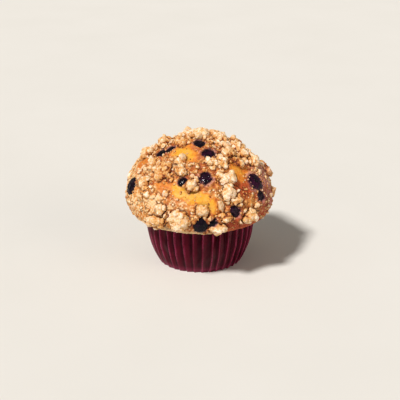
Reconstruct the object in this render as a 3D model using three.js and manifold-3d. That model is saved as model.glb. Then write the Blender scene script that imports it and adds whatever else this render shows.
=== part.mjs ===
// A blueberry muffin with streusel topping, standing in its pleated paper baking cup.
// Millimetres, +Z up. The origin is the centre of the cup's base, on the surface that it stands on.
import * as THREE from "three";
import { mergeVertices } from "three/addons/utils/BufferGeometryUtils.js";
import Module from "manifold-3d";

const wasm = await Module();
wasm.setup();

// Driving dimensions
const clearance = 0.3; // between any two neighbours, so that no two solids touch
const cup = {
  baseRadius: 25, // outside, over the pleats
  rimRadius: 32.6,
  height: 30.2,
  paper: 0.4,
  pleats: 36,
  basePleatDepth: 0.9,
  rimPleatDepth: 1.9,
  bulge: 2.3, // how soon the wall swells out above the base
  wallSteps: 5,
};
const crust = {
  segments: 48,
  steps: 14, // rings from the crown to the edge of the overhang
  sway: 0.6, // slow in and out of the dome's side
  droop: 0.5, // rise and fall of the overhang's edge
  // Where the dome stands out further: azimuth, height, spread round (degrees) and up, amount.
  bulges: [
    [-97, 55, 34, 9, 2.8],
    [98, 56, 26, 8, 0.8],
    [170, 50, 40, 10, 1],
  ],
  // Radius and height from the crown down to the underside of the overhang.
  outline: [
    [0, 76],
    [11.5, 74.6],
    [23, 69.2],
    [32.7, 61.2],
    [40, 51],
    [43.4, 41.2],
    [43.2, 36.8],
    [41.2, 33],
    [38.2, 30.9],
    [33, 31.2],
  ],
};
const colours = {
  cake: 0xd9973f,
  paper: 0x5a1228,
  blueberry: 0x1b1630,
  streusel: 0xe2b97c,
};

// Fruit and topping lie on the crust at [azimuth, distance down from the crown, ...].
// Azimuth is in degrees: 0 faces the front (-Y) and 90 the right (+X). Lengths are in millimetres.
const berrySink = 0.55; // of a berry's radius, from its centre down below the crust
const blueberries = [
  // azimuth, down, radius
  [15, 19.4, 4.6],
  [6, 36, 4.5],
  [-17, 39, 3.2],
  [-70, 25.5, 3.7],
  [-61, 20, 3.3],
  [-72, 50, 5.3],
  [-4, 9.5, 4.2],
  [58, 44.5, 5.7],
  [58, 53.5, 3.5],
  [28, 57, 3.7],
  [0, 64, 4.6],
  [10, 62, 2.8],
  [118, 30, 4.4],
  [140, 54, 4.8],
  [178, 24, 4.0],
  [-160, 48, 4.6],
  [-122, 58, 4.2],
];
const streusel = [
  // azimuth, down, width round the dome, length down it, height
  [160, 1.5, 14, 11, 6.6],
  [-120, 9, 9, 8, 4.5],
  [-98, 22, 9.5, 9, 6],
  [-97, 33, 10, 10, 5.5],
  [-60, 12, 9, 8, 3.5],
  [97, 12, 10, 8, 4],
  [80, 24, 10, 10, 5],
  [77, 35, 10, 9, 5],
  [97, 45, 9, 9, 3.5],
  [17, 26, 7, 6, 3.5],
  [31, 27, 6, 7, 3.5],
  [49, 22, 9, 7, 4.5],
  [52, 30, 8, 6, 3.5],
  [28, 38, 11, 8, 4.5],
  [25, 46, 10, 8, 4.5],
  [-8, 41, 9, 8, 5],
  [-20, 33, 7, 6, 3.5],
  [-42.5, 35, 13, 11, 5],
  [-29, 26, 8, 6, 3],
  [-57, 45, 8, 8, 3.5],
  [-32, 56, 7, 7, 4],
  [-16, 61, 14, 12, 5.5],
  [-36, 64, 15, 7, 4],
  [13.5, 65.5, 11, 6, 4.5],
  [41, 62, 10, 8, 4],
  [31, 51, 8, 5, 3.5],
  [2, 55, 9, 6, 3.5],
  [20, 60, 8, 5, 3.5],
  [112, 24, 10, 8, 3.4],
  [-165, 18, 11, 9, 3.4],
  [155, 22, 12, 9, 4],
  [150, 36, 12, 10, 5],
  [-128, 40, 11, 9, 4.5],
  [178, 44, 13, 11, 5],
  [118, 58, 10, 9, 4],
  [165, 63, 13, 9, 4.5],
  [-145, 64, 12, 8, 4.5],
  [-141, 50, 9, 7, 3.5],
];

// A repeatable source of numbers from 0 to 1.
function seededRandom(seed) {
  let state = seed;
  return () => {
    state = (state * 1664525 + 1013904223) % 4294967296;
    return state / 4294967296;
  };
}

function closedGeometry(geometry) {
  geometry.deleteAttribute("normal");
  geometry.deleteAttribute("uv");
  return mergeVertices(geometry, 1e-4);
}

function solidOf(geometry) {
  const closed = closedGeometry(geometry);
  return new wasm.Manifold(
    new wasm.Mesh({
      numProp: 3,
      vertProperties: closed.attributes.position.array,
      triVerts: new Uint32Array(closed.index.array),
    }),
  );
}

function geometryOf(solid) {
  const mesh = solid.getMesh();
  const geometry = new THREE.BufferGeometry();
  geometry.setAttribute("position", new THREE.BufferAttribute(mesh.vertProperties, 3));
  geometry.setIndex(new THREE.BufferAttribute(mesh.triVerts, 1));
  geometry.computeVertexNormals();
  return geometry;
}

function largestBody(solid) {
  return solid.decompose().reduce((a, b) => (a.volume() > b.volume() ? a : b));
}

// A lathe round +Z whose every vertex is then moved by reshape(point, azimuth in radians).
function turned(profile, segments, reshape) {
  const geometry = closedGeometry(new THREE.LatheGeometry(profile, segments));
  geometry.rotateX(Math.PI / 2);
  const position = geometry.attributes.position;
  const point = new THREE.Vector3();
  for (let i = 0; i < position.count; i++) {
    point.fromBufferAttribute(position, i);
    reshape(point, Math.atan2(point.x, -point.y));
    position.setXYZ(i, point.x, point.y, point.z);
  }
  return geometry;
}

// Paper baking cup

// Share of the way from base to rim radius that the wall has reached at a height.
const wallSwell = (z) => 1 - Math.max(0, 1 - z / cup.height) ** cup.bulge;
const pleatDepth = (z) =>
  cup.basePleatDepth + (cup.rimPleatDepth - cup.basePleatDepth) * wallSwell(z);
const cupRadius = (z) => cup.baseRadius + (cup.rimRadius - cup.baseRadius) * wallSwell(z);
const wallHeights = Array.from(
  { length: cup.wallSteps + 1 },
  (_, i) => (cup.height * i) / cup.wallSteps,
);

// Every second segment of the lathe is drawn in to make the valley of a pleat.
function pleat(point, azimuth) {
  const radius = Math.hypot(point.x, point.y);
  const flatRadius = cup.baseRadius - 3;
  if (radius < flatRadius) return;
  const valley = 0.5 - 0.5 * Math.cos(azimuth * cup.pleats);
  const scale = 1 - (valley * pleatDepth(point.z)) / radius;
  point.x *= scale;
  point.y *= scale;
}

function bakingCup() {
  const flatRadius = cup.baseRadius - 3.2;
  const outside = wallHeights.map((z) => new THREE.Vector2(cupRadius(z), z));
  const inside = wallHeights
    .filter((z) => z > cup.paper)
    .map((z) => new THREE.Vector2(cupRadius(z) - cup.paper, z))
    .reverse();
  const profile = [
    new THREE.Vector2(0, 0),
    new THREE.Vector2(flatRadius, 0),
    ...outside,
    ...inside,
    new THREE.Vector2(cup.baseRadius - cup.paper, cup.paper),
    new THREE.Vector2(flatRadius, cup.paper),
    new THREE.Vector2(0, cup.paper),
  ];
  return solidOf(turned(profile, cup.pleats * 2, pleat));
}

// Cake

const crustCurve = new THREE.SplineCurve(crust.outline.map(([r, z]) => new THREE.Vector2(r, z)));
crustCurve.arcLengthDivisions = 400;
const crustLength = crustCurve.getLength();

// Slow unevenness of the dome, none at the crown, where the profile meets the axis, or inside the cup.
function sway(point, azimuth) {
  const share = THREE.MathUtils.smoothstep(Math.hypot(point.x, point.y), 34, 44);
  const out =
    0.5 * Math.cos(2 * azimuth + 0.9) + 0.3 * Math.cos(3 * azimuth - 1.2) + 0.2 * Math.cos(5 * azimuth);
  let push = crust.sway * share * out;
  for (const [turn, height, spread, rise, amount] of crust.bulges) {
    const round = THREE.MathUtils.euclideanModulo(THREE.MathUtils.radToDeg(azimuth) - turn + 180, 360) - 180;
    push += amount * Math.exp(-((round / spread) ** 2) - ((point.z - height) / rise) ** 2);
  }
  const scale = 1 + push / Math.hypot(point.x, point.y, 1);
  point.x *= scale;
  point.y *= scale;
  const nearEdge = 1 - THREE.MathUtils.smoothstep(point.z, 31, 40);
  point.z += crust.droop * share * nearEdge * Math.cos(6 * azimuth + 1.5);
}

// The baked body. grow moves its outside out, which gives its neighbours the clearance.
function cakeBody(grow = 0) {
  const outline = Array.from({ length: crust.steps + 1 }, (_, i) => {
    const share = i / crust.steps;
    const point = crustCurve.getPointAt(share);
    const along = crustCurve.getTangentAt(share);
    const lifted = new THREE.Vector2(point.x - along.y * grow, point.y + along.x * grow);
    return i === 0 ? new THREE.Vector2(0, point.y + grow) : lifted;
  });
  const bottom = cup.paper + clearance;
  const insideCup = wallHeights
    .filter((z) => z > bottom)
    .map((z) => {
      const gap = cup.paper + clearance + 0.2;
      return new THREE.Vector2(cupRadius(z) - pleatDepth(z) - gap + grow, z);
    })
    .reverse();
  const foot = new THREE.Vector2(cup.baseRadius - cup.basePleatDepth - 1.2, bottom);
  const profile = [...outline, ...insideCup, foot, new THREE.Vector2(0, bottom)].reverse();
  return solidOf(turned(profile, crust.segments, sway));
}

// A frame on the crust: its origin is on the surface and its +Z points out of it.
function onCrust(azimuth, down) {
  const share = THREE.MathUtils.clamp(down / crustLength, 0, 1);
  const point = crustCurve.getPointAt(share);
  const along = crustCurve.getTangentAt(share);
  const angle = THREE.MathUtils.degToRad(azimuth);
  const side = new THREE.Vector3(Math.cos(angle), Math.sin(angle), 0);
  const out = new THREE.Vector3(Math.sin(angle), -Math.cos(angle), 0);
  const origin = out.clone().multiplyScalar(point.x).setZ(point.y);
  sway(origin, angle);
  const normal = out.clone().multiplyScalar(-along.y).setZ(along.x);
  const matrix = new THREE.Matrix4().makeBasis(side, normal.clone().cross(side), normal);
  return matrix.setPosition(origin);
}

// Blueberries

function blueberry([azimuth, down, radius], grow = 0) {
  const geometry = closedGeometry(new THREE.IcosahedronGeometry(radius + grow, 2));
  geometry.scale(1, 1, 0.9);
  geometry.translate(0, 0, -berrySink * radius);
  return solidOf(geometry.applyMatrix4(onCrust(azimuth, down)));
}

// Streusel

// One rough nub of a clump: its corners stand in or out by chance.
function nub(size, centre, random, grow) {
  const geometry = closedGeometry(new THREE.IcosahedronGeometry(1, 1));
  const position = geometry.attributes.position;
  const point = new THREE.Vector3();
  for (let i = 0; i < position.count; i++) {
    point.fromBufferAttribute(position, i).multiplyScalar(0.86 + 0.28 * random());
    point.multiply(size).addScaledVector(point.clone().normalize(), grow).add(centre);
    position.setXYZ(i, point.x, point.y, point.z);
  }
  return solidOf(geometry);
}

// A clump is a main nub with smaller ones baked on round it.
function streuselClump([azimuth, down, width, length, height], seed, grow = 0) {
  const random = seededRandom(seed);
  const half = new THREE.Vector3(width / 2, length / 2, height);
  const middle = half.clone().multiply(new THREE.Vector3(0.95, 0.95, 0.88));
  let clump = nub(middle, new THREE.Vector3(), random, grow);
  const sideNubs = Math.min(2, Math.floor((width * length) / 50));
  for (let i = 0; i < sideNubs; i++) {
    const turn = (i / sideNubs + 0.3 * random()) * 2 * Math.PI;
    const centre = new THREE.Vector3(Math.cos(turn), Math.sin(turn), 0.3);
    centre.multiply(half).multiplyScalar(0.58);
    const size = half.clone().multiplyScalar(0.46 + 0.12 * random());
    clump = clump.add(nub(size, centre, random, grow));
  }
  return clump.transform(onCrust(azimuth, down).toArray());
}

// Assembly

const muffin = new THREE.Group();

function addPart(name, solid, colour, roughness) {
  const material = new THREE.MeshStandardMaterial({ color: colour, roughness, metalness: 0 });
  const mesh = new THREE.Mesh(geometryOf(solid), material);
  mesh.name = name;
  muffin.add(mesh);
}

const number = (i) => String(i + 1).padStart(2, "0");

addPart("baking_cup", bakingCup(), colours.paper, 0.55);

const sockets = blueberries.map((berry) => blueberry(berry, clearance));
let cake = cakeBody();
sockets.forEach((socket) => {
  cake = cake.subtract(socket);
});
addPart("muffin_cake", largestBody(cake), colours.cake, 0.7);

// Each berry is cut back where it would meet the one before it.
let taken = null;
blueberries.forEach((berry, i) => {
  const solid = blueberry(berry);
  const own = taken ? solid.subtract(taken) : solid;
  addPart(`blueberry_${number(i)}`, largestBody(own), colours.blueberry, 0.4);
  taken = taken ? taken.add(sockets[i]) : sockets[i];
});

// Each clump is cut to the crust, the berries and the clumps before it.
taken = taken.add(cakeBody(clearance));
streusel.forEach((clump, i) => {
  const solid = streuselClump(clump, i + 1).subtract(taken);
  addPart(`streusel_${number(i)}`, largestBody(solid), colours.streusel, 0.9);
  taken = taken.add(streuselClump(clump, i + 1, clearance));
});

export default muffin;
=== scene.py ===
import math

import bpy
import numpy as np
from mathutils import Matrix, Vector, noise


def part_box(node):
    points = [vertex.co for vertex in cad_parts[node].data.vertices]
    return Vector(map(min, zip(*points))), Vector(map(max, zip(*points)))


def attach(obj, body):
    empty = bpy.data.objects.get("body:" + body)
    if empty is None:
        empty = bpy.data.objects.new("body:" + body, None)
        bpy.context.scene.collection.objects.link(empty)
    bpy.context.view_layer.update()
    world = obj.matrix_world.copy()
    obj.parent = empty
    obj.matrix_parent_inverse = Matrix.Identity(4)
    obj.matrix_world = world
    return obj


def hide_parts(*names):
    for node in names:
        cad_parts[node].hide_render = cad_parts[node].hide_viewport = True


# A blueberry streusel muffin in its paper baking cup.
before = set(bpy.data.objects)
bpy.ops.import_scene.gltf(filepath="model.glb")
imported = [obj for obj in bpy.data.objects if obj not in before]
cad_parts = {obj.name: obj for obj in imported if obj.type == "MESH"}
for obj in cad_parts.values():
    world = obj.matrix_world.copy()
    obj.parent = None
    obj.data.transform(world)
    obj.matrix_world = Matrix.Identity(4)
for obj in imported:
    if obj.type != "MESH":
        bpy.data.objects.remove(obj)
noise.seed_set(3)  # without it noise_vector differs from run to run
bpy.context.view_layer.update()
mm = 0.001
print("muffin: frame loaded,", len(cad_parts), "nodes")

# Camera

camera = {
    "lens": 100,
    "distance": 0.667,
    "tilt": 21,  # degrees above the table
    "aim": (0, 0, 0.0365),
}


def setCamera():
    data = bpy.data.cameras.new("camera")
    data.lens = camera["lens"]
    data.sensor_width = 36
    thing = bpy.data.objects.new("camera", data)
    bpy.context.scene.collection.objects.link(thing)
    tilt = math.radians(camera["tilt"])
    back = Vector((0, -math.cos(tilt), math.sin(tilt)))
    thing.location = Vector(camera["aim"]) + back * camera["distance"]
    thing.rotation_euler = (-back).to_track_quat("-Z", "Y").to_euler()
    bpy.context.scene.camera = thing


setCamera()

# Node helpers


class Wire:
    def __init__(self, board, socket):
        self.board = board
        self.socket = socket

    def out(self, name):
        node = self.socket.node
        return Wire(self.board, pickSocket(node.outputs, name))

    def __add__(self, other):
        return self.board.math("ADD", self, other)

    def __radd__(self, other):
        return self.board.math("ADD", other, self)

    def __sub__(self, other):
        return self.board.math("SUBTRACT", self, other)

    def __rsub__(self, other):
        return self.board.math("SUBTRACT", other, self)

    def __mul__(self, other):
        return self.board.math("MULTIPLY", self, other)

    def __truediv__(self, other):
        return self.board.math("DIVIDE", self, other)

    def __neg__(self):
        return self.board.math("MULTIPLY", self, -1.0)


def pickSocket(sockets, key):
    if isinstance(key, int):
        return sockets[key]
    return next(s for s in sockets if s.name == key and not s.is_unavailable)


class Board:
    def __init__(self, tree):
        self.tree = tree

    def add(self, kind, settings=None, inputs=None, output=0):
        node = self.tree.nodes.new(kind)
        for name, value in (settings or {}).items():
            setattr(node, name, value)
        for key, value in (inputs or {}).items():
            socket = pickSocket(node.inputs, key)
            if isinstance(value, Wire):
                self.tree.links.new(value.socket, socket)
            else:
                socket.default_value = value
        return Wire(self, pickSocket(node.outputs, output)) if node.outputs else node

    def math(self, operation, *values, **settings):
        settings["operation"] = operation
        return self.add("ShaderNodeMath", settings, dict(enumerate(values)))

    def most(self, a, b):
        return self.math("MAXIMUM", a, b)

    def clamped(self, value):
        return self.math("ADD", value, 0.0, use_clamp=True)

    def fade(self, value, low, high):  # 0 below low, 1 above high, smooth between
        settings = {"interpolation_type": "SMOOTHSTEP"}
        inputs = {"Value": value, "From Min": low, "From Max": high}
        return self.add("ShaderNodeMapRange", settings, inputs)

    def mix(self, factor, a, b):  # of two colours
        return self.add("ShaderNodeMix", {"data_type": "RGBA"}, {"Factor": factor, "A": a, "B": b}, "Result")

    def mixNumber(self, factor, a, b):
        return self.add("ShaderNodeMix", {"data_type": "FLOAT"}, {"Factor": factor, "A": a, "B": b})

    def vector(self, operation, a, b=None, output=0, **more):
        inputs = {0: a}
        if b is not None:
            inputs["Scale" if operation == "SCALE" else 1] = b
        inputs.update(more)
        return self.add("ShaderNodeVectorMath", {"operation": operation}, inputs, output)

    def noise(self, place, scale, detail=2.0, rough=0.5, output=0):
        inputs = {"Vector": place, "Scale": scale, "Detail": detail, "Roughness": rough}
        return self.add("ShaderNodeTexNoise", {}, inputs, output)

    def cells(self, place, scale, feature="F1", output="Distance", **more):
        inputs = {"Vector": place, "Scale": scale, **more}
        return self.add("ShaderNodeTexVoronoi", {"feature": feature}, inputs, output)


def startTree(name, inputs):
    tree = bpy.data.node_groups.new(name, "GeometryNodeTree")
    tree.interface.new_socket(name="Geometry", in_out="INPUT", socket_type="NodeSocketGeometry")
    tree.interface.new_socket(name="Geometry", in_out="OUTPUT", socket_type="NodeSocketGeometry")
    for inputName, kind in inputs.items():
        tree.interface.new_socket(name=inputName, in_out="INPUT", socket_type="NodeSocket" + kind)
    board = Board(tree)
    entry = board.add("NodeGroupInput").socket.node
    return board, {s.name: Wire(board, s) for s in entry.outputs if s.name}


def endTree(board, geometry, material):
    smooth = board.add("GeometryNodeSetShadeSmooth", {}, {"Geometry": geometry})
    real = board.add("GeometryNodeRealizeInstances", {}, {"Geometry": smooth})
    done = board.add("GeometryNodeSetMaterial", {}, {"Geometry": real, "Material": material})
    board.add("NodeGroupOutput", {}, {0: done})
    return board.tree


def keepValue(board, geometry, name, value):
    inputs = {"Geometry": geometry, "Name": name, "Value": value}
    return board.add("GeometryNodeStoreNamedAttribute", {"data_type": "FLOAT", "domain": "POINT"}, inputs)


def storedValue(board, name):
    return board.add("GeometryNodeInputNamedAttribute", {"data_type": "FLOAT"}, {"Name": name})


def chanceValue(board, low, high, seed, kind="FLOAT"):
    inputs = {"Min": low, "Max": high, "Seed": seed}
    return board.add("FunctionNodeRandomValue", {"data_type": kind}, inputs, "Value")


def tumbled(board, rotation, least, most, seed):  # turned a random amount about each of its own axes
    spin = chanceValue(board, least, most, seed, "FLOAT_VECTOR")
    return board.add("FunctionNodeRotateRotation", {"rotation_space": "LOCAL"}, {
        "Rotation": rotation, "Rotate By": spin,
    })  # fmt: skip


def solidOf(board, thing):  # the surface of another object, where it stands
    settings = {"transform_space": "RELATIVE"}
    return board.add("GeometryNodeObjectInfo", settings, {"Object": thing}, "Geometry")


def distanceTo(board, geometry, place):
    inputs = {"Geometry": geometry, "Sample Position": place}
    return board.add("GeometryNodeProximity", {"target_element": "FACES"}, inputs, "Distance")


def makeChunk(board):  # a lump of 20 faces
    return board.add("GeometryNodeMeshIcoSphere", {}, {"Radius": 1.1, "Subdivisions": 1})


def joinParts(board, *parts):
    joined = board.add("GeometryNodeJoinGeometry")
    for part in parts:
        board.tree.links.new(part.socket, joined.socket.node.inputs[0])
    return joined


def useTree(thing, tree, values):
    modifier = thing.modifiers.new(tree.name, "NODES")
    modifier.node_group = tree
    for item in tree.interface.items_tree:
        if item.in_out == "INPUT" and item.name in values:
            modifier[item.identifier] = values[item.name]


def settle(thing):  # its modifiers become its plain mesh
    depsgraph = bpy.context.evaluated_depsgraph_get()
    evaluated = thing.evaluated_get(depsgraph)
    mesh = bpy.data.meshes.new_from_object(evaluated, preserve_all_data_layers=True, depsgraph=depsgraph)
    thing.modifiers.clear()
    thing.data = mesh
    return thing


def newThing(name, mesh):
    thing = bpy.data.objects.new(name, mesh)
    bpy.context.scene.collection.objects.link(thing)
    return thing


def copyNode(node, name):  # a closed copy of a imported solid
    thing = newThing(name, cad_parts[node].data.copy())
    thing.data.materials.clear()
    weld = thing.modifiers.new("weld", "WELD")
    weld.merge_threshold = 0.00001
    return settle(thing)


def points(mesh):
    flat = np.zeros(len(mesh.vertices) * 3, np.float32)
    mesh.vertices.foreach_get("co", flat)
    return flat.reshape(-1, 3).astype(float)


def skinOver(thing, voxel):  # one closed skin round all of its parts
    remesh = thing.modifiers.new("voxels", "REMESH")
    remesh.mode = "VOXEL"
    remesh.voxel_size = voxel


def thinOut(thing, most):  # to this many triangles, the flattest places first
    thing.data.calc_loop_triangles()
    count = len(thing.data.loop_triangles)
    if count > most:
        thinned = thing.modifiers.new("thinned", "DECIMATE")
        thinned.ratio = most / count
        settle(thing)
        thing.data.validate()  # thinning can leave a face twice


def movePoints(mesh, places):
    mesh.vertices.foreach_set("co", places.astype(np.float32).ravel())
    mesh.update()


def setValue(mesh, name, values):
    attribute = mesh.attributes.get(name) or mesh.attributes.new(name, "FLOAT", "POINT")
    attribute.data.foreach_set("value", np.asarray(values, np.float32))


def rgb(code):  # a colour such as "e8c58a" in linear light
    parts = [int(code[i : i + 2], 16) / 255 for i in (0, 2, 4)]
    linear = [p / 12.92 if p <= 0.04045 else ((p + 0.055) / 1.055) ** 2.4 for p in parts]
    return (*linear, 1.0)


def newMaterial(name):
    material = bpy.data.materials.new(name)
    material.use_nodes = True
    material.node_tree.nodes.clear()
    return material, Board(material.node_tree)


def finishMaterial(board, shader):
    board.add("ShaderNodeOutputMaterial", {}, {"Surface": shader})


def value(board, name):  # of a surface attribute
    return board.add("ShaderNodeAttribute", {"attribute_name": name}, {}, "Fac")


def objectPlace(board):
    return board.add("ShaderNodeTexCoord", {}, {}, "Object")


# Places on the dome: azimuth in degrees, 0 at the front and 90 at the right, and
# millimetres down the crust from the crown.

domeOutline = [  # radius and height, in mm
    (0, 76), (11.5, 74.6), (23, 69.2), (32.7, 61.2), (40, 51),
    (43.4, 41.2), (43.2, 36.8), (41.2, 33), (38.2, 30.9), (33, 31.2),
]  # fmt: skip


def traceOutline(steps=60):  # a smooth curve through the points of the outline
    knots = np.array(domeOutline, float)
    last = len(knots) - 1
    traced = []
    for i in range(last):
        before, here = knots[max(i - 1, 0)], knots[i]
        there, after = knots[i + 1], knots[min(i + 2, last)]
        leave, arrive = (there - before) / 2, (after - here) / 2
        for t in np.linspace(0, 1, steps, endpoint=False):
            cubic = (2 * here - 2 * there + leave + arrive) * t**3
            square = (-3 * here + 3 * there - 2 * leave - arrive) * t**2
            traced.append(cubic + square + leave * t + here)
    traced.append(knots[-1])
    return np.array(traced)


outlinePoints = traceOutline()
outlineDown = np.concatenate([[0], np.cumsum(np.linalg.norm(np.diff(outlinePoints, axis=0), axis=1))])


def crustMap(places):  # azimuth, distance down the crust and radius of each point, in degrees and mm
    radius = np.hypot(places[:, 0], places[:, 1]) / mm
    azimuth = np.degrees(np.arctan2(places[:, 0], -places[:, 1]))
    coarse = slice(None, None, 4)
    line, down = outlinePoints[coarse], outlineDown[coarse]
    nearest = np.empty(len(places), int)
    for start in range(0, len(places), 20000):
        part = slice(start, start + 20000)
        gap = (radius[part, None] - line[:, 0]) ** 2 + (places[part, 2, None] / mm - line[:, 1]) ** 2
        nearest[part] = gap.argmin(1)
    return azimuth, down[nearest], radius


ragged = {
    "broad": 260,  # waves per metre
    "narrow": 700,
    "narrowShare": 0.5,
    "sideways": 110,  # degrees times mm from the axis
    "down": 2.4,  # mm
    "leastRadius": 8,  # mm, so that the crown isn't spun round
}


def shakeOf(place):
    broad = noise.noise_vector(Vector(place) * ragged["broad"])
    return broad + noise.noise_vector(Vector(place) * ragged["narrow"]) * ragged["narrowShare"]


def wobble(crust, places):  # the same map with its places shaken, so that patches get ragged edges
    azimuths, downs, radius = crust
    shake = np.array([shakeOf(p) for p in places])
    spin = shake[:, 0] * ragged["sideways"] / np.maximum(radius, ragged["leastRadius"])
    return azimuths + spin, downs + shake[:, 1] * ragged["down"], radius


def patch(crust, azimuth, down, width, length, turn=0, strength=1):  # 1 inside an oval, 0 well outside
    azimuths, downs, _ = crust
    girth = np.interp(down, outlineDown, outlinePoints[:, 0])
    side = np.radians((azimuths - azimuth + 180) % 360 - 180) * girth
    fall = downs - down
    c, s = math.cos(math.radians(turn)), math.sin(math.radians(turn))
    across = (side * c + fall * s) / (width / 2)
    along = (-side * s + fall * c) / (length / 2)
    return strength * np.exp(-0.7 * (across**2 + along**2) ** 1.3)


# Bare cake that shows between the streusel: azimuth, down, width, length, turn, strength.
barePatches = [
    (-28, 20, 14, 12, 0, 0.9),
    (-33, 42.5, 15, 8, 12, 0.42),
    (-14, 45, 17, 7, 14, 1),
    (-4, 47.5, 16, 7, 16, 1.1),
    (6, 51, 12, 7, 20, 0.9),
    (45, 36, 16, 19, 10, 0.5),
    (-81, 37, 12, 12, 0, 0.46),
    (125, 42, 12, 8, 10, 0.8),
    (160, 30, 10, 7, -20, 0.7),
    (-140, 30, 10, 8, 30, 0.8),
    (-165, 58, 12, 7, 0, 0.8),
]
toastedPatches = [
    (-81, 40, 11, 10, 0, 0.3),
    (-20, 51, 12, 5, 10, 0.35),
    (42, 45, 12, 9, 0, 1),
    (34, 67, 30, 13, 0, 1),
    (64, 68, 28, 13, 0, 1),
    (60, 57, 14, 12, 0, 0.7),
    (76, 57, 16, 24, 0, 0.9),
    (80, 45, 8, 12, 0, 0.8),
    (110, 62, 18, 10, 0, 0.9),
    (-120, 48, 14, 10, 0, 0.8),
    (170, 55, 16, 9, 0, 0.8),
]
sandyPatches = [
    (-62, 58, 26, 20, 0, 1),
    (-40, 55, 12, 12, 0, 1),
    (-19, 52, 17, 9, 8, 0.9),
    (-29, 27, 12, 8, 0, 0.8),
    (-85, 51, 26, 28, 0, 1),
    (-62, 36, 12, 10, 0, 0.7),
    (22, 48, 12, 10, 0, 0.7),
    (52, 58, 22, 16, 0, 0.6),
    (86, 50, 22, 32, 0, 0.9),
    (-110, 50, 16, 16, 0, 0.8),
    (140, 45, 14, 14, 0, 0.8),
    (-170, 38, 16, 12, 0, 0.8),
]

# Materials

cakeLooks = {
    "crumb": "ce883f",
    # crumbDark is partly painted shade, for the gaps between the crust's lumps
    "crumbDark": "a45220",
    "crumbPale": "e5c08f",
    "yellow": "e09f28",
    "paleYellow": "dea640",
    "orange": "d4781f",
    "toasted": "a8441c",
    # crevice: dark brown for the painted shade beside the clumps and loose crumbs, and for the crust's
    # fissures
    "creviceShadeBrown": "3e170b",
    "mauve": "cc9084",
    "stain": "34122a",
    "roughness": 0.6,
}


def makeCakeMaterial():
    material, board = newMaterial("muffin_crust")
    place = objectPlace(board)
    blotch = board.noise(place, 240, 3, 0.6)
    speck = board.noise(place, 1100, 3, 0.65)
    bare = board.clamped(value(board, "bare") + (blotch - 0.5) * 0.7)
    toasted = board.clamped(value(board, "toasted") * 1.1 + (blotch - 0.5) * 0.5)
    ridge = value(board, "ridge")
    hollow = value(board, "hollow")
    stain = board.clamped(value(board, "stain") * 1.25 + (speck - 0.5) * 0.6)
    # pale: tops of the crust's lumps and the flange are paler as painted light, the gaps between lumps darker
    # as painted shade, mixed with random tone, blotches and the sandy patches
    pale = ridge * 0.75 + (value(board, "tone") - 0.5) * 0.6 + (blotch - 0.5) * 1.1 + (speck - 0.5) * 0.5
    pale = board.clamped(pale + value(board, "sandy") * 0.7 - toasted * 0.6)
    crumb = board.mix(board.fade(pale, 0.05, 0.5), rgb(cakeLooks["crumbDark"]), rgb(cakeLooks["crumb"]))
    crumb = board.mix(board.fade(pale, 0.5, 0.95), crumb, rgb(cakeLooks["crumbPale"]))
    pores = board.fade(speck, 0.62, 0.74)
    yellow = board.mix(board.fade(blotch, 0.38, 0.66), rgb(cakeLooks["yellow"]), rgb(cakeLooks["paleYellow"]))
    yellow = board.mix(pores * 0.55, yellow, rgb(cakeLooks["orange"]))
    colour = board.mix(board.fade(bare, 0.12, 0.5), crumb, rgb(cakeLooks["orange"]))
    colour = board.mix(board.fade(bare, 0.32, 0.72), colour, yellow)
    colour = board.mix(toasted * (0.9 - board.fade(pale, 0.6, 0.95) * 0.6), colour, rgb(cakeLooks["toasted"]))
    scorched = board.fade(board.noise(place, 520, 3, 0.6), 0.54, 0.68)
    colour = board.mix(scorched * board.fade(bare, 0.15, 0.4) * 0.4, colour, rgb(cakeLooks["toasted"]))
    shaken = board.vector("SUBTRACT", board.noise(place, 330, 3, 0.6, "Color"), (0.5, 0.5, 0.5))
    shaken = board.vector("ADD", place, board.vector("SCALE", shaken, 5 * mm))
    fissure = board.fade(board.cells(shaken, 105, "DISTANCE_TO_EDGE"), 0.05, 0.015)
    fissure = fissure * board.fade(board.noise(place, 75, 1), 0.5, 0.6) * board.fade(bare, 0.4, 0.2)
    # painted shade beside the clumps and the loose crumbs, joined with the crust's fissures, darkened towards
    # the crevice colour
    hollow = board.most(board.most(hollow, fissure * 0.85), value(board, "crack") * 0.75)
    hollow = hollow * (0.95 - board.fade(bare, 0.2, 0.6) * 0.45)
    colour = board.mix(hollow, colour, rgb(cakeLooks["creviceShadeBrown"]))
    tinged = board.fade(stain, 0.12, 0.45) * board.fade(blotch, 0.44, 0.62) * 0.7
    colour = board.mix(tinged, colour, rgb(cakeLooks["mauve"]))
    mottling = 0.3 + board.fade(blotch, 0.38, 0.6) * 0.4 + board.fade(speck, 0.35, 0.65) * 0.25
    colour = board.mix(value(board, "blush") * mottling, colour, rgb(cakeLooks["mauve"]))
    colour = board.mix(board.fade(stain, 0.35, 0.95) * 0.95, colour, rgb(cakeLooks["stain"]))
    grain = board.noise(place, 1500, 4, 0.7)
    pits = board.fade(board.cells(place, 900), 0.0, 0.25)
    height = grain * 0.6 + pits * 0.5 - fissure * 1.6
    bump = board.add("ShaderNodeBump", {}, {"Strength": 0.55, "Distance": 0.35 * mm, "Height": height})
    rough = cakeLooks["roughness"] + (speck - 0.5) * 0.3 - board.fade(bare, 0.4, 0.8) * 0.12
    shader = board.add("ShaderNodeBsdfPrincipled", {}, {
        "Base Color": colour,
        "Roughness": rough,
        "Normal": bump,
        "Specular IOR Level": 0.35,
        "Subsurface Weight": 0.15,
        "Subsurface Radius": (1.0, 0.4, 0.15),
        "Subsurface Scale": 0.0015,
    })  # fmt: skip
    finishMaterial(board, shader)
    return material


streuselLooks = {
    # sugar serves both for real sugar flecks and for a painted highlight on the palest tops
    "sugarAndHighlight": "f3dcc2",
    "butter": "dc9c48",
    "cream": "e3be92",
    "tan": "cf9856",
    "golden": "bb6824",
    # brown and golden are partly painted shade, near the crust and in cracks
    "brown": "682a10",
    "stain": "5b2a42",
    "roughness": 0.75,
}


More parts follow.
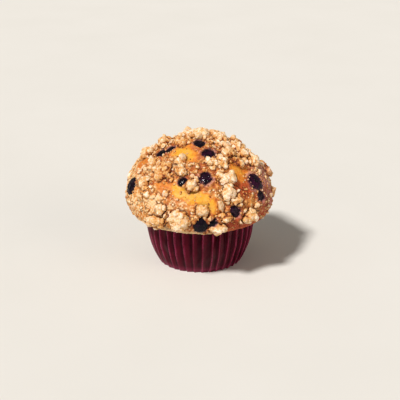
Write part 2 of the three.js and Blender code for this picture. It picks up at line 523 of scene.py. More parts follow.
def makeStreuselMaterial():
    material, board = newMaterial("streusel_crumb")
    place = objectPlace(board)
    browned = board.noise(place, 120, 2)
    blotch = board.noise(place, 330, 3, 0.6)
    speck = board.noise(place, 1400, 3, 0.7)
    lift = value(board, "lift")  # 0 at the crust to 1 on top
    ridge = value(board, "ridge")  # 0 in a crack to 1 on a ridge
    tone = value(board, "tone")
    # pale: paler on tops and ridges as painted light, darker near the crust and in cracks as painted shade,
    # mixed with random tone and blotches
    pale = lift * 0.55 + ridge * 0.6 + (blotch - 0.5) * 0.9 + (tone - 0.5) * 0.55
    pale = board.clamped(pale - board.fade(browned, 0.5, 0.68) * 0.3 - 0.1)
    low = board.mix(board.fade(pale, 0.04, 0.36), rgb(streuselLooks["brown"]), rgb(streuselLooks["golden"]))
    high = board.mix(board.fade(pale, 0.45, 0.9), rgb(streuselLooks["tan"]), rgb(streuselLooks["cream"]))
    colour = board.mix(board.fade(pale, 0.2, 0.52), low, high)
    # a painted highlight in the sugar colour on the palest tops and ridges
    highlightOnTops = board.fade(pale, 0.85, 1.0) * board.fade(blotch, 0.4, 0.6)
    colour = board.mix(highlightOnTops, colour, rgb(streuselLooks["sugarAndHighlight"]))
    buttery = board.fade(board.noise(place, 560, 2), 0.52, 0.66)
    colour = board.mix(buttery * board.fade(pale, 0.3, 0.6) * 0.7, colour, rgb(streuselLooks["butter"]))
    colour = board.mix(board.fade(speck, 0.6, 0.78) * 0.45, colour, rgb(streuselLooks["golden"]))
    colour = board.mix(board.fade(speck, 0.4, 0.25) * 0.4, colour, rgb(streuselLooks["sugarAndHighlight"]))
    stain = board.clamped(value(board, "stain") * 1.1 + (blotch - 0.5) * 0.5 - 0.1)
    colour = board.mix(board.fade(stain, 0.1, 0.4) * 0.5, colour, rgb(cakeLooks["mauve"]))
    colour = board.mix(board.fade(stain, 0.35, 0.95) * 0.85, colour, rgb(streuselLooks["stain"]))
    grain = board.noise(place, 1900, 4, 0.75)
    lumps = board.cells(place, 1300, "SMOOTH_F1")
    height = grain * 0.8 - lumps * 0.6
    bump = board.add("ShaderNodeBump", {}, {"Strength": 0.6, "Distance": 0.3 * mm, "Height": height})
    shader = board.add("ShaderNodeBsdfPrincipled", {}, {
        "Base Color": colour,
        "Roughness": streuselLooks["roughness"] + (speck - 0.5) * 0.2,
        "Normal": bump,
        "Specular IOR Level": 0.35,
        "Subsurface Weight": 0.15,
        "Subsurface Radius": (1.0, 0.45, 0.2),
        "Subsurface Scale": 0.0012,
    })  # fmt: skip
    finishMaterial(board, shader)
    return material


berryLooks = {
    "skin": "06040b",
    "purple": "1b0b1b",
    # bloom: a real waxy bloom colour, also laid on the wrinkle ridges as a painted highlight
    "bloomAndHighlight": "44445c",
    "juice": "330a26",
    "roughness": 0.45,
}


def makeBerryMaterial():
    material, board = newMaterial("blueberry_skin")
    place = objectPlace(board)
    blotch = board.noise(place, 420, 3, 0.6)
    speck = board.noise(place, 1500, 2, 0.6)
    ridge = value(board, "ridge")
    colour = board.mix(board.fade(blotch, 0.5, 0.75), rgb(berryLooks["skin"]), rgb(berryLooks["purple"]))
    # bluish colour on the wrinkle ridges: partly real bloom, partly a painted highlight where light catches
    # the ridges
    bloomAndHighlightShare = board.fade(ridge, 0.55, 0.95) * board.fade(speck, 0.45, 0.7) * 0.35
    colour = board.mix(bloomAndHighlightShare, colour, rgb(berryLooks["bloomAndHighlight"]))
    juicy = value(board, "juicy") * board.fade(blotch, 0.35, 0.6)
    colour = board.mix(juicy, colour, rgb(berryLooks["juice"]))
    grain = board.noise(place, 900, 3, 0.6)
    bump = board.add("ShaderNodeBump", {}, {"Strength": 0.13, "Distance": 0.25 * mm, "Height": grain})
    shader = board.add("ShaderNodeBsdfPrincipled", {}, {
        "Base Color": colour,
        "Roughness": berryLooks["roughness"] + (speck - 0.5) * 0.3,
        "Normal": bump,
        "Specular IOR Level": 0.04,
        "Coat Weight": 0.25,
        "Coat Roughness": 0.08,
    })  # fmt: skip
    finishMaterial(board, shader)
    return material


paperLooks = {
    "paper": "4c0517",
    # ridge: the colour of the painted highlight on the pleat crests, also of the worn creases at the base and
    # of fibre flecks
    "ridge": "9a3456",
    # valley: painted shade in the pleat valleys
    "valley": "280209",
    "greasy": "2e040b",
    "gloss": (1.0, 0.25, 0.4, 1.0),
    "roughness": 0.4,
}


def makePaperMaterial():
    material, board = newMaterial("burgundy_paper")
    place = objectPlace(board)
    fold = value(board, "fold")  # 0 in a valley to 1 on a ridge
    cloud = board.noise(place, 90, 3, 0.55)
    stretched = board.add("ShaderNodeMapping", {}, {"Vector": place, "Scale": (1.0, 1.0, 0.35)})
    fibre = board.noise(stretched, 1900, 4, 0.7)
    # painted shade: the paper is darker in the valleys of the pleats
    colour = board.mix(board.fade(fold, 0.0, 0.45), rgb(paperLooks["valley"]), rgb(paperLooks["paper"]))
    uneven = board.fade(board.noise(place, 60, 2), 0.35, 0.6)
    # painted highlight along the crests of the pleats, plus real wear where the paper is creased at the base
    crestHighlightAndWear = board.fade(fold, 0.62, 1.0) * board.fade(fibre, 0.3, 0.6) * (0.35 + uneven * 0.6)
    crestHighlightAndWear = crestHighlightAndWear + value(board, "worn") * 0.4
    colour = board.mix(board.fade(cloud, 0.45, 0.66) * 0.6, colour, rgb(paperLooks["greasy"]))
    colour = board.mix(board.clamped(crestHighlightAndWear), colour, rgb(paperLooks["ridge"]))
    colour = board.mix(board.fade(fibre, 0.6, 0.8) * 0.15, colour, rgb(paperLooks["ridge"]))
    height = fibre * 0.5 + value(board, "crease")
    bump = board.add("ShaderNodeBump", {}, {"Strength": 0.3, "Distance": 0.12 * mm, "Height": height})
    shader = board.add("ShaderNodeBsdfPrincipled", {}, {
        "Base Color": colour,
        "Roughness": paperLooks["roughness"] + (fibre - 0.5) * 0.2 - board.fade(cloud, 0.45, 0.65) * 0.06,
        "Normal": bump,
        "Specular IOR Level": 0.22,
        "Specular Tint": paperLooks["gloss"],
    })  # fmt: skip
    finishMaterial(board, shader)
    return material


cakeMaterial = makeCakeMaterial()
streuselMaterial = makeStreuselMaterial()
berryMaterial = makeBerryMaterial()
paperMaterial = makePaperMaterial()
print("muffin: materials made")

# Paper cup

cup = {
    "pleats": 36,
    "baseRadius": 25 * mm,
    "rimRadius": 32.6 * mm,
    "height": 30.2 * mm,
    "baseDepth": 0.9 * mm,
    "rimDepth": 1.9 * mm,
    "bulge": 2.3,  # how soon the wall swells out above the base
    "paper": 0.3 * mm,
    "around": 576,  # faces round the wall
    "rows": 44,
    "baseRows": 10,
}


def makeCupTree():
    board, given = startTree("pleated_cup", {
        "Pleats": "Float", "Base Radius": "Float", "Rim Radius": "Float", "Height": "Float",
        "Base Depth": "Float", "Rim Depth": "Float", "Bulge": "Float",
        "Around": "Int", "Rows": "Int", "Base Share": "Float", "Material": "Material",
    })  # fmt: skip
    grid = board.add("GeometryNodeMeshGrid", {}, {
        "Size X": 1.0, "Size Y": 1.0, "Vertices X": given["Around"], "Vertices Y": given["Rows"],
    })  # fmt: skip
    place = board.add("GeometryNodeInputPosition")
    split = board.add("ShaderNodeSeparateXYZ", {}, {0: place})
    turn = (split + 0.5) * (2 * math.pi)
    along = split.out("Y") + 0.5
    share = given["Base Share"]
    onBase = board.clamped(along / share)
    up = board.clamped((along - share) / (1.0 - share))
    height = up * given["Height"]
    swell = 1.0 - board.math("POWER", 1.0 - up, given["Bulge"])
    radius = given["Base Radius"] + (given["Rim Radius"] - given["Base Radius"]) * swell
    ring = board.add("ShaderNodeCombineXYZ", {}, {
        "X": board.math("SINE", turn), "Y": -board.math("COSINE", turn), "Z": up * 0.6,
    })  # fmt: skip
    hoop = board.vector("MULTIPLY", ring, (1.0, 1.0, 0.0))
    wander = board.noise(hoop, 3.1, 2) - 0.5
    uneven = board.noise(ring, 7.0, 1) - 0.5
    lean = (board.noise(hoop, 7.0, 0) - 0.5) * up * 2.6 + (board.noise(ring, 5.0, 1) - 0.5) * 1.2
    phase = (turn * given["Pleats"] + wander * 5.0 + lean) / (2 * math.pi)
    across = board.math("FRACT", phase)  # 0 to 1 across each pleat
    steep = board.fade(across, 0.02, 0.24)
    slow = board.math("POWER", board.clamped((1.02 - across) / 0.78), 1.5)
    fold = steep * slow
    depth = given["Base Depth"] + (given["Rim Depth"] - given["Base Depth"]) * swell
    depth = depth * (1.0 + uneven * 1.1) * board.fade(onBase, 0.86, 1.0)
    reach = radius * onBase - (1.0 - fold) * depth * onBase
    spot = board.add("ShaderNodeCombineXYZ", {}, {
        "X": board.math("SINE", turn) * reach, "Y": -board.math("COSINE", turn) * reach, "Z": height,
    })  # fmt: skip
    kept = keepValue(board, grid, "fold", fold)
    kept = keepValue(board, kept, "worn", board.fade(up, 0.16, 0.02) * board.fade(along, share * 0.9, share))
    kept = keepValue(board, kept, "crease", board.math("SINE", height * 5200.0) * board.fade(up, 0.2, 0.05))
    moved = board.add("GeometryNodeSetPosition", {}, {"Geometry": kept, "Position": spot})
    merged = board.add("GeometryNodeMergeByDistance", {}, {"Geometry": moved, "Distance": 0.00001})
    return endTree(board, merged, given["Material"])


def makeCup():
    thing = newThing("paper_cup", bpy.data.meshes.new("paper_cup"))
    useTree(thing, makeCupTree(), {
        "Pleats": float(cup["pleats"]), "Base Radius": cup["baseRadius"], "Rim Radius": cup["rimRadius"],
        "Height": cup["height"], "Base Depth": cup["baseDepth"], "Rim Depth": cup["rimDepth"],
        "Bulge": cup["bulge"], "Around": cup["around"] + 1, "Rows": cup["rows"] + cup["baseRows"],
        "Base Share": cup["baseRows"] / (cup["rows"] + cup["baseRows"] - 1), "Material": paperMaterial,
    })  # fmt: skip
    thickness = thing.modifiers.new("paper", "SOLIDIFY")
    thickness.thickness = cup["paper"]
    thickness.offset = -1
    settle(thing)
    return thing


paperCup = makeCup()
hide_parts("baking_cup")
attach(paperCup, "root")
print("muffin: cup pleated,", len(paperCup.data.polygons), "faces")

# Cake

cake = {
    "voxel": 0.46 * mm,
    "swell": 0.35 * mm,  # closes the gap to what is baked on it
    "lumps": 0.8 * mm,
    "rubble": 1.05 * mm,
    "sand": 0.4 * mm,
    "dimples": 0.34 * mm,
    "lip": 0.9 * mm,  # round each berry
    "skirt": 1.1 * mm,
    "flange": 1.3 * mm,  # thin edge that ran out over the cup
    "mostTriangles": 192000,
    # Heights above the table, in metres, between which each of these comes in.
    "outside": (0.0302, 0.033),  # what shows above the cup
    "low": (0.038, 0.032),
    "ledgeUnder": (0.0305, 0.0314),
    "ledgeOver": (0.0336, 0.032),
    "ledgeReach": (0.034, 0.037),  # out from the middle
    # Heights from which each of these starts, and over how much it changes.
    "sandyBelow": (0.036, 3 * mm),
    "crumbsAbove": (0.0322, 1.5 * mm),
    "crumbsThicken": (0.035, 8 * mm),
    # How far each size of crumb stays from the berries.
    "room": {"coverLarge": 2.4 * mm, "coverMedium": 0.9 * mm, "coverSmall": 0.3 * mm},
}


def makeReliefTree():
    board, given = startTree("crust_relief", {
        "Swell": "Float", "Lumps": "Float", "Rubble": "Float", "Sand": "Float", "Dimples": "Float",
        "Lip": "Float", "Skirt": "Float", "Flange": "Float", "Material": "Material",
    })  # fmt: skip
    place = board.add("GeometryNodeInputPosition")
    normal = board.add("GeometryNodeInputNormal")
    height = board.add("ShaderNodeSeparateXYZ", {}, {0: place}, "Z")
    level = board.vector("MULTIPLY", place, (1.0, 1.0, 0.0))
    reach = board.vector("LENGTH", level, None, "Value")
    outside = board.fade(height, *cake["outside"])
    low = board.fade(height, *cake["low"])
    bare = storedValue(board, "bare")
    sandy = board.most(storedValue(board, "sandy"), low)
    loose = board.clamped(1.0 - bare * 1.5)
    coarse = board.cells(place, 370, "SMOOTH_F1", Smoothness=0.25)
    fine = board.cells(place, 780, "SMOOTH_F1", Smoothness=0.3)
    rubble = (0.42 - coarse) * 2.2 * given["Rubble"] * loose * board.clamped(1.0 - sandy)
    sand = (0.42 - fine) * 2.2 * given["Sand"] * board.clamped(loose * 0.6 + sandy * 0.6 + 0.1)
    lumps = (board.noise(place, 95, 2) - 0.5) * 2.0 * given["Lumps"] * (1.0 - low * 0.7)
    dimples = (board.noise(place, 420, 4, 0.65) - 0.5) * 2.0 * given["Dimples"]
    lip = storedValue(board, "lip") * given["Lip"] * (board.noise(place, 210, 2) * 2.0 - 0.1)
    frill = board.noise(level, 170, 3)
    wave = (frill + board.noise(level, 70, 1) * 1.4 - 1.2) * 2.0 * given["Skirt"]
    ledge = board.fade(height, *cake["ledgeUnder"]) * board.fade(height, *cake["ledgeOver"])
    ledge = ledge * board.fade(reach, *cake["ledgeReach"])
    runOut = ledge * (0.4 + frill) * given["Flange"]
    flange = board.vector("SCALE", board.vector("NORMALIZE", level), runOut)
    out = board.vector("SCALE", normal, (given["Swell"] + lumps + rubble + sand + dimples + lip) * outside)
    down = board.add("ShaderNodeCombineXYZ", {}, {"Z": wave * low * outside})
    # ridge: 1 on the tops of the crust's lumps and along the flange, 0 in the gaps; the crust colour reads it
    # as painted light and painted shade
    ridge = board.clamped(1.25 - board.mixNumber(sandy, coarse, fine) * 1.9 + ledge * 0.5)
    kept = keepValue(board, given["Geometry"], "ridge", ridge)
    tone = board.add("ShaderNodeSeparateXYZ", {}, {0: board.cells(place, 780, "F1", "Color")}, "X")
    kept = keepValue(board, kept, "tone", tone)
    moved = board.add("GeometryNodeSetPosition", {}, {
        "Geometry": kept, "Offset": board.vector("ADD", board.vector("ADD", out, down), flange),
    })  # fmt: skip
    return endTree(board, moved, given["Material"])


def berryBalls():  # centre and radius of each blueberry
    balls = []
    for name in sorted(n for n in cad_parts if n.startswith("blueberry")):
        low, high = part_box(name)
        balls.append((name, np.array((low + high) / 2), (high - low).length / 2 / math.sqrt(3)))
    return balls


berries = berryBalls()
juicySide = (83, 47, 22, 34, 0)  # where the crust is pink all over
juicyBerries = {
    "blueberry_01": 0.6, "blueberry_02": 0.6, "blueberry_06": 0.2, "blueberry_08": 1.0,
    "blueberry_09": 0.5, "blueberry_10": 0.5, "blueberry_14": 0.8, "blueberry_16": 0.6,
}  # fmt: skip


def stainOf(places, crust):  # juice that the berries have let into the crust round them
    stain = np.zeros(len(places))
    toOneSide = np.clip(0.62 + 1.6 * np.array([noise.noise(Vector(p) * 130) for p in places]), 0.15, 1.1)
    for name, centre, radius in berries:
        reach = (0.7 + 3.2 * juicyBerries.get(name, 0.1)) * mm
        gap = np.linalg.norm(places - centre, axis=1) - radius * 0.95
        ran = np.clip(1 - gap / reach, 0, 1) ** 1.2 * toOneSide
        soaked = np.clip(1.35 - gap / (0.9 * mm), 0, 1)
        stain = np.maximum(stain, np.maximum(ran, soaked))
    return np.maximum(stain, patch(crust, *juicySide, 0.3))


def berryGap(places):  # how far each point is outside the nearest berry
    gaps = [np.linalg.norm(places - centre, axis=1) - radius for _, centre, radius in berries]
    return np.min(gaps, axis=0)


def risen(places, start, change):  # height above the start, in multiples of the change
    return (places[:, 2] - start) / change


def makeCake():
    thing = copyNode("muffin_cake", "muffin_crust")
    skinOver(thing, cake["voxel"])
    settle(thing)
    mesh = thing.data
    places = points(mesh)
    crust = wobble(crustMap(places), places)
    bare = np.max([patch(crust, *p) for p in barePatches], axis=0)
    toasted = np.max([patch(crust, *p) for p in toastedPatches], axis=0)
    sandy = np.max([patch(crust, *p) for p in sandyPatches], axis=0)
    underside = np.clip(-risen(places, *cake["sandyBelow"]), 0, 0.8)
    sandy = np.maximum(sandy, underside * (1 - 0.8 * toasted))
    bared = np.clip(risen(places, *cake["crumbsAbove"]), 0, 1)
    thin = np.clip(risen(places, *cake["crumbsThicken"]), 0.12, 1)
    gap = berryGap(places)
    shake = np.array([noise.noise(Vector(p) * 95) for p in places])
    heaped = np.clip((shake + 0.45) / 0.45, 0.2, 1)  # crumbs lie in drifts
    setValue(mesh, "bare", bare)
    setValue(mesh, "sandy", sandy)
    setValue(mesh, "toasted", toasted)
    setValue(mesh, "lip", np.exp(-(((gap - 0.9 * mm) / (1.2 * mm)) ** 2)))
    setValue(mesh, "stain", stainOf(places, crust))
    blush = patch(crust, *juicySide, 0.9)
    setValue(mesh, "blush", blush)
    settled = bared * thin * heaped * np.clip(1 - 2.4 * bare, 0, 1) * (1 - 0.85 * sandy)
    sprinkled = np.clip(0.9 - 1.1 * bare, 0.3, 1) * (0.7 - 0.4 * sandy) * (1 - 0.45 * blush)
    covers = {"coverLarge": settled, "coverMedium": settled, "coverSmall": bared * sprinkled}
    for cover, amount in covers.items():
        setValue(mesh, cover, amount * (gap > cake["room"][cover]))
    useTree(thing, makeReliefTree(), {
        "Swell": cake["swell"], "Lumps": cake["lumps"], "Rubble": cake["rubble"], "Sand": cake["sand"],
        "Dimples": cake["dimples"], "Lip": cake["lip"], "Skirt": cake["skirt"], "Flange": cake["flange"],
        "Material": cakeMaterial,
    })  # fmt: skip
    return settle(thing)


muffinCrust = makeCake()
thinOut(muffinCrust, cake["mostTriangles"])
print("muffin: cake risen,", len(muffinCrust.data.polygons), "faces")

# Blueberries

blueberry = {
    "voxel": 0.28 * mm,
    "dent": 0.9 * mm,
    "wrinkle": 0.28 * mm,
    "crown": 0.38,  # radius of the crown's rim, in radians
    "crownLobes": 0.16,  # share of that radius
    "rimWidth": 0.1,  # in radians
    "slump": 0.36,  # share of the exposed cap that sank in the oven
    # Shares of the berry's radius.
    "slumpFrom": 0.35,
    "rimHeight": 0.1,
    "bowlDepth": 0.16,
    # Heights on the cake's axis, in metres.
    "outFrom": 0.03,  # the cap faces away from here
    "crownFrom": 0.035,  # and the crown from here, turned by chance
    "crownTurn": 0.8,
    "seed": 21,
    "plump": 1.12,
    "plumper": {"blueberry_04": 1.25, "blueberry_06": 1.34, "blueberry_07": 1.2, "blueberry_08": 1.3},
}


def makeBerryTree():
    board, given = startTree("berry_skin", {
        "Dent": "Float", "Wrinkle": "Float", "Shift": "Vector", "Material": "Material",
    })  # fmt: skip
    place = board.vector("ADD", board.add("GeometryNodeInputPosition"), given["Shift"])
    normal = board.add("GeometryNodeInputNormal")
    dents = (board.noise(place, 260, 2) - 0.5) * 2.0 * given["Dent"]
    fold = board.math("ABSOLUTE", board.noise(place, 520, 3, 0.6) - 0.5)
    wrinkles = (board.fade(fold, 0.0, 0.12) - 0.7) * given["Wrinkle"]
    offset = board.vector("SCALE", normal, dents + wrinkles)
    kept = keepValue(board, given["Geometry"], "ridge", board.fade(fold, 0.0, 0.2))
    moved = board.add("GeometryNodeSetPosition", {}, {"Geometry": kept, "Offset": offset})
    return endTree(board, moved, given["Material"])


def pressCrown(mesh, centre, radius, pole, plump):  # the star-shaped crown where the flower was
    places = centre + (points(mesh) - centre) * plump
    out = places - centre
    far = np.linalg.norm(out, axis=1)
    unit = out / far[:, None]
    pole = np.array(pole)
    angle = np.arccos(np.clip(unit @ pole, -1, 1))
    side = np.cross(pole, (0.3, 0.2, 0.93))
    side /= np.linalg.norm(side)
    turn = np.arctan2(unit @ np.cross(pole, side), unit @ side)
    rim = blueberry["crown"] * (1 + blueberry["crownLobes"] * np.cos(5 * turn))
    ring = np.exp(-(((angle - rim) / blueberry["rimWidth"]) ** 2))
    bowl = np.clip(1 - angle / rim, 0, 1) ** 0.5
    raised = ring * blueberry["rimHeight"] - bowl * blueberry["bowlDepth"]
    places += unit * raised[:, None] * radius
    up = np.array(Vector(centre - np.array((0, 0, blueberry["outFrom"]))).normalized())
    cap = np.clip((places - centre) @ up - blueberry["slumpFrom"] * radius, 0, None)
    places -= up * (cap * blueberry["slump"])[:, None]
    movePoints(mesh, places)


berryTree = makeBerryTree()
berryThings = []
chance = np.random.default_rng(blueberry["seed"])
for name, centre, radius in berries:
    berry = copyNode(name, "fresh_" + name)
    skinOver(berry, blueberry["voxel"])
    smooth = berry.modifiers.new("rounded", "SMOOTH")
    smooth.iterations = 6
    shift = Vector(chance.uniform(-1, 1, 3))
    useTree(berry, berryTree, {
        "Dent": blueberry["dent"], "Wrinkle": blueberry["wrinkle"], "Shift": shift,
        "Material": berryMaterial,
    })  # fmt: skip
    settle(berry)
    outward = Vector(centre - np.array((0, 0, blueberry["crownFrom"]))).normalized()
    pole = outward + Vector(chance.uniform(-blueberry["crownTurn"], blueberry["crownTurn"], 3))
    plump = blueberry["plumper"].get(name, blueberry["plump"])
    pressCrown(berry.data, centre, radius, pole.normalized(), plump)
    setValue(berry.data, "juicy", np.full(len(berry.data.vertices), juicyBerries.get(name, 0.1)))
    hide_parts(name)
    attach(berry, "root")
    berryThings.append(berry)
print("muffin:", len(berryThings), "blueberries sunk in")

# Streusel clumps

clumps = {
    "knobGap": 3.3 * mm,
    "knob": (1.2 * mm, 2.7 * mm),  # least and largest
    "knobSeed": 10,
    "density": 2000000.0,  # of the points that the gap then thins out
    "voxel": 0.3 * mm,
    "grain": 0.24 * mm,
    "mottle": 0.4,
    # the clump's painted light grows over this height above the crust, with painted shade below it
    "rise": 3.6 * mm,  # height above the crust over which a clump turns pale
    "seed": 5,
    "tones": (  # 0 brown to 1 pale, clump by clump
        0.8, 0.65, 0.55, 0.65, 0.5, 0.7, 0.5, 0.9, 0.3, 1.0, 0.95, 0.75, 0.35,
        0.95, 0.9, 0.45, 0.75, 0.3, 0.6, 0.8, 0.95, 0.9, 0.6, 0.75, 0.7, 0.5,
        0.8, 0.55, 0.7, 0.5, 0.8, 0.4, 0.9, 0.6, 0.45, 0.85, 0.6, 0.7,
    ),
}


def makeKnobTree():
    board, given = startTree("clump_knobs", {
        "Gap": "Float", "Least": "Float", "Largest": "Float", "Seed": "Int", "Material": "Material",
    })  # fmt: skip
    spots = board.add("GeometryNodeDistributePointsOnFaces", {"distribute_method": "POISSON"}, {
        "Mesh": given["Geometry"], "Distance Min": given["Gap"], "Density Max": clumps["density"],
        "Seed": given["Seed"],
    })  # fmt: skip
    size = chanceValue(board, given["Least"], given["Largest"], given["Seed"])
    sized = keepValue(board, spots, "knobSize", size)
    size = storedValue(board, "knobSize")
    sunk = board.vector("SCALE", spots.out("Normal"), size * -0.55)
    placed = board.add("GeometryNodeSetPosition", {}, {"Geometry": sized, "Offset": sunk})
    stretch = chanceValue(board, (0.7, 0.7, 0.7), (1.4, 1.2, 1.0), given["Seed"], "FLOAT_VECTOR")
    turned = tumbled(board, spots.out("Rotation"), (0.0, 0.0, 0.0), (3.1, 3.1, 3.1), 29)
    knobs = board.add("GeometryNodeInstanceOnPoints", {}, {
        "Points": placed, "Instance": makeChunk(board), "Rotation": turned,
        "Scale": board.vector("SCALE", stretch, size),
    })  # fmt: skip
    real = board.add("GeometryNodeRealizeInstances", {}, {"Geometry": knobs})
    return endTree(board, joinParts(board, given["Geometry"], real), given["Material"])


def makeGrainTree():
    board, given = startTree("clump_grain", {
        "Grain": "Float", "Crust": "Object", "Tone": "Float", "Mottle": "Float", "Rise": "Float",
        "Shift": "Vector", "Material": "Material",
    })  # fmt: skip
    place = board.add("GeometryNodeInputPosition")
    normal = board.add("GeometryNodeInputNormal")
    shifted = board.vector("ADD", place, given["Shift"])
    coarse = (board.noise(shifted, 330, 4, 0.65) - 0.5) * 3.4
    fine = (0.4 - board.cells(shifted, 950, "SMOOTH_F1", Smoothness=0.2)) * 1.5
    offset = board.vector("SCALE", normal, (coarse + fine) * given["Grain"])
    moved = board.add("GeometryNodeSetPosition", {}, {"Geometry": given["Geometry"], "Offset": offset})
    proud = 0.0
    for turns in (6, 30):  # small cracks, then the clefts between lobes
        soft = board.add("GeometryNodeBlurAttribute", {"data_type": "FLOAT_VECTOR"}, {
            "Value": place, "Iterations": turns,
        })  # fmt: skip
        above = board.vector("DOT_PRODUCT", board.vector("SUBTRACT", place, soft), normal, "Value")
        proud = proud + above / math.sqrt(turns)
    # ridge and lift are read by the streusel colour as painted light on ridges and tops and painted shade in
    # clefts and near the crust
    kept = keepValue(board, moved, "ridge", board.fade(proud, -0.14 * mm, 0.17 * mm))
    above = distanceTo(board, solidOf(board, given["Crust"]), place)
    kept = keepValue(board, kept, "lift", board.fade(above, 0.0, given["Rise"]))
    patchy = board.add("ShaderNodeSeparateXYZ", {}, {0: board.cells(shifted, 330, "F1", "Color")}, "X")
    kept = keepValue(board, kept, "tone", given["Tone"] + (patchy - 0.5) * given["Mottle"])
    return endTree(board, kept, given["Material"])


knobTree = makeKnobTree()
grainTree = makeGrainTree()
clumpThings = []
chance = np.random.default_rng(clumps["seed"])
for number, name in enumerate(sorted(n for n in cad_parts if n.startswith("streusel"))):
    clump = copyNode(name, "baked_" + name)
    useTree(clump, knobTree, {
        "Gap": clumps["knobGap"], "Least": clumps["knob"][0], "Largest": clumps["knob"][1],
        "Seed": clumps["knobSeed"] + number, "Material": streuselMaterial,
    })  # fmt: skip
    skinOver(clump, clumps["voxel"])
    useTree(clump, grainTree, {
        "Grain": clumps["grain"], "Crust": muffinCrust, "Mottle": clumps["mottle"],
        "Tone": clumps["tones"][number % len(clumps["tones"])], "Rise": clumps["rise"],
        "Shift": Vector(chance.uniform(-1, 1, 3)), "Material": streuselMaterial,
    })  # fmt: skip
    settle(clump)
    places = points(clump.data)
    setValue(clump.data, "stain", stainOf(places, crustMap(places)))
    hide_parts(name)
    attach(clump, "root")
    clumpThings.append(clump)
clumpFaces = sum(len(clump.data.polygons) for clump in clumpThings)
print("muffin:", len(clumpThings), "streusel clumps,", clumpFaces, "faces")

# Loose streusel crumbs between the clumps

crumbs = {
    # spacing, least and largest half width, how fine their lumps are, seed, density attribute
    "large": (4.2 * mm, 1.4 * mm, 2.7 * mm, 400.0, 3, "coverLarge"),
    "medium": (2.7 * mm, 0.8 * mm, 1.9 * mm, 500.0, 7, "coverMedium"),
    "small": (1.4 * mm, 0.35 * mm, 0.8 * mm, 1000.0, 11, "coverSmall"),
    "density": 1200000.0,  # of the points that the spacing then thins out
    # The rest is for the large and medium ones, which are joined into one skin.
    "voxel": 0.34 * mm,
    "grain": 0.2 * mm,
    "tone": 0.62,
    "mottle": 0.9,
    "rise": 1.2 * mm,
    "shift": (0.3, 0.7, 0.2),
    "mostTriangles": 190000,
}


def makeCrumbTree():
    board, given = startTree("scattered_crumbs", {
        "Crust": "Object", "Gap": "Float", "Least": "Float", "Largest": "Float", "Fineness": "Float",
        "Seed": "Int", "Cover": "Float", "Material": "Material",
    })  # fmt: skip
    spots = board.add("GeometryNodeDistributePointsOnFaces", {"distribute_method": "POISSON"}, {
        "Mesh": solidOf(board, given["Crust"]), "Distance Min": given["Gap"],
        "Density Max": crumbs["density"], "Density Factor": given["Cover"], "Seed": given["Seed"],
    })  # fmt: skip
    bigness = chanceValue(board, 0.0, 1.0, given["Seed"])
    size = given["Least"] + (given["Largest"] - given["Least"]) * bigness * bigness
    sized = keepValue(board, spots, "crumbSize", size)
    sized = keepValue(board, sized, "tone", chanceValue(board, 0.0, 1.0, 91))
    size = storedValue(board, "crumbSize")
    placed = board.add("GeometryNodeSetPosition", {}, {
        "Geometry": sized, "Offset": board.vector("SCALE", spots.out("Normal"), size * 0.1),
    })  # fmt: skip
    level = board.add("ShaderNodeSeparateXYZ", {}, {0: board.add("GeometryNodeInputPosition")}, "Z")
    # lift: 0 at the bottom of each crumb to 1 at its top, read as painted light on top and painted shade
    # below
    chunk = keepValue(board, makeChunk(board), "lift", board.fade(level, -0.2, 1.0))
    stretch = chanceValue(board, (0.7, 0.7, 0.5), (1.5, 1.2, 0.95), 33, "FLOAT_VECTOR")
    turned = tumbled(board, spots.out("Rotation"), (-0.7, -0.7, 0.0), (0.7, 0.7, 6.28), 57)
    crumb = board.add("GeometryNodeInstanceOnPoints", {}, {
        "Points": placed, "Instance": chunk, "Rotation": turned,
        "Scale": board.vector("SCALE", stretch, size),
    })  # fmt: skip
    real = board.add("GeometryNodeRealizeInstances", {}, {"Geometry": crumb})
    place = board.add("GeometryNodeInputPosition")
    lumps = board.noise(place, given["Fineness"], 2, 0.6, "Color")
    rough = board.vector("SUBTRACT", lumps, (0.5, 0.5, 0.5))
    own = storedValue(board, "crumbSize")
    lumpy = board.add("GeometryNodeSetPosition", {}, {
        "Geometry": real, "Offset": board.vector("SCALE", rough, own * 2.2),
    })  # fmt: skip
    kept = keepValue(board, lumpy, "ridge", board.noise(place, 900, 1))
    return endTree(board, joinParts(board, given["Geometry"], kept), given["Material"])


def scatterCrumbs(thing, gap, least, largest, fineness, seed, cover):
    useTree(thing, crumbTree, {
        "Crust": muffinCrust, "Gap": gap, "Least": least, "Largest": largest, "Fineness": fineness,
        "Seed": seed, "Material": streuselMaterial,
    })  # fmt: skip
    modifier = thing.modifiers[-1]
    socket = next(i for i in crumbTree.interface.items_tree if i.name == "Cover")
    modifier[socket.identifier + "_use_attribute"] = True
    modifier[socket.identifier + "_attribute_name"] = cover


crumbTree = makeCrumbTree()
looseCrumbs = newThing("loose_crumbs", bpy.data.meshes.new("loose_crumbs"))
scatterCrumbs(looseCrumbs, *crumbs["large"])
scatterCrumbs(looseCrumbs, *crumbs["medium"])
skinOver(looseCrumbs, crumbs["voxel"])
useTree(looseCrumbs, grainTree, {
    "Grain": crumbs["grain"], "Crust": muffinCrust, "Tone": crumbs["tone"], "Mottle": crumbs["mottle"],
    "Rise": crumbs["rise"], "Shift": Vector(crumbs["shift"]), "Material": streuselMaterial,
})  # fmt: skip
settle(looseCrumbs)
thinOut(looseCrumbs, crumbs["mostTriangles"])
fineCrumbs = newThing("fine_crumbs", bpy.data.meshes.new("fine_crumbs"))
scatterCrumbs(fineCrumbs, *crumbs["small"])
settle(fineCrumbs)
for scatter in (looseCrumbs, fineCrumbs):
    places = points(scatter.data)
    setValue(scatter.data, "stain", stainOf(places, crustMap(places)))
    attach(scatter, "root")
    print("muffin:", scatter.name, len(scatter.data.polygons), "faces")

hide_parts("muffin_cake")
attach(muffinCrust, "root")

# Painted shade, in a dark brown, in the crevices beside what lies on the crust

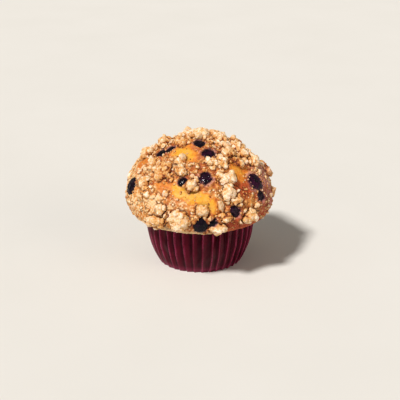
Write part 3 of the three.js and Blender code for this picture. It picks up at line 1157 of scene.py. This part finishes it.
crevices = {
    "wide": 1.7 * mm,  # beside the clumps
    "narrow": 0.8 * mm,  # beside the loose crumbs
}


def makeCreviceShadeTree():
    board, given = startTree("crevices", {
        "Clumps": "Collection", "Loose": "Object", "Wide": "Float", "Narrow": "Float",
        "Material": "Material",
    })  # fmt: skip
    settings = {"transform_space": "RELATIVE"}
    topping = board.add("GeometryNodeCollectionInfo", settings, {"Collection": given["Clumps"]})
    topping = board.add("GeometryNodeRealizeInstances", {}, {"Geometry": topping})
    loose = solidOf(board, given["Loose"])
    place = board.add("GeometryNodeInputPosition")
    kept = given["Geometry"]
    # stored for painted shade: 1 against the clumps or the loose crumbs, 0 at the reach
    for name, around, reach in (("hollow", topping, given["Wide"]), ("crack", loose, given["Narrow"])):
        kept = keepValue(board, kept, name, board.fade(distanceTo(board, around, place), reach, 0.0))
    return endTree(board, kept, given["Material"])


topping = bpy.data.collections.new("topping")
for thing in clumpThings:
    topping.objects.link(thing)
useTree(muffinCrust, makeCreviceShadeTree(), {
    "Clumps": topping, "Loose": looseCrumbs, "Wide": crevices["wide"], "Narrow": crevices["narrow"],
    "Material": cakeMaterial,
})  # fmt: skip
settle(muffinCrust)
bpy.data.collections.remove(topping)
print("muffin: crevices browned")

# Studio

studio = {
    "floor": "d9d6cf",
    "floorPale": "dedbd5",
    "floorHalf": 6,  # metres
    # strength, place, softness in degrees and colour
    "key": (3.75, (-0.42, -0.49, 0.8), 9, (1.0, 0.98, 0.96)),
    "fill": (0.6, (0.7, -0.5, 0.35), 36, (1.0, 0.9, 0.8)),
    "skyColour": (1.0, 0.97, 0.93, 1),
    "sky": 0.22,
    "backdrop": 0.8,
}


def makeFloor():
    material, board = newMaterial("studio_floor")
    place = objectPlace(board)
    mottled = board.mix(board.noise(place, 12, 3), rgb(studio["floor"]), rgb(studio["floorPale"]))
    shader = board.add("ShaderNodeBsdfPrincipled", {}, {
        "Base Color": mottled, "Roughness": 1.0, "Specular IOR Level": 0.0,
    })  # fmt: skip
    finishMaterial(board, shader)
    mesh = bpy.data.meshes.new("studio_floor")
    half = studio["floorHalf"]
    corners = [(-half, -half, 0), (half, -half, 0), (half, half, 0), (-half, half, 0)]
    mesh.from_pydata(corners, [], [(0, 1, 2, 3)])
    mesh.materials.append(material)
    newThing("studio_floor", mesh)


def addLamp(name, strength, place, softness, colour):  # large, far off and aimed at the muffin
    data = bpy.data.lights.new(name, "SUN")
    data.energy = strength
    data.angle = math.radians(softness)
    data.color = colour
    lamp = bpy.data.objects.new(name, data)
    lamp.location = place
    lamp.rotation_euler = (-Vector(place)).to_track_quat("-Z", "Y").to_euler()
    bpy.context.scene.collection.objects.link(lamp)


def makeBackdrop():  # pale behind everything, dimmer as a source of light
    world = bpy.data.worlds.new("studio")
    world.use_nodes = True
    board = Board(world.node_tree)
    sky = world.node_tree.nodes["Background"]
    sky.inputs["Color"].default_value = studio["skyColour"]
    seen = board.add("ShaderNodeLightPath", {}, {}, "Is Camera Ray")
    strength = board.mixNumber(seen, studio["sky"], studio["backdrop"])
    world.node_tree.links.new(strength.socket, sky.inputs["Strength"])
    bpy.context.scene.world = world


def makeStudio():
    makeFloor()
    addLamp("key_light", *studio["key"])
    addLamp("fill_light", *studio["fill"])
    makeBackdrop()
    bpy.context.scene.view_settings.view_transform = "Standard"


makeStudio()
print("muffin: studio lit")
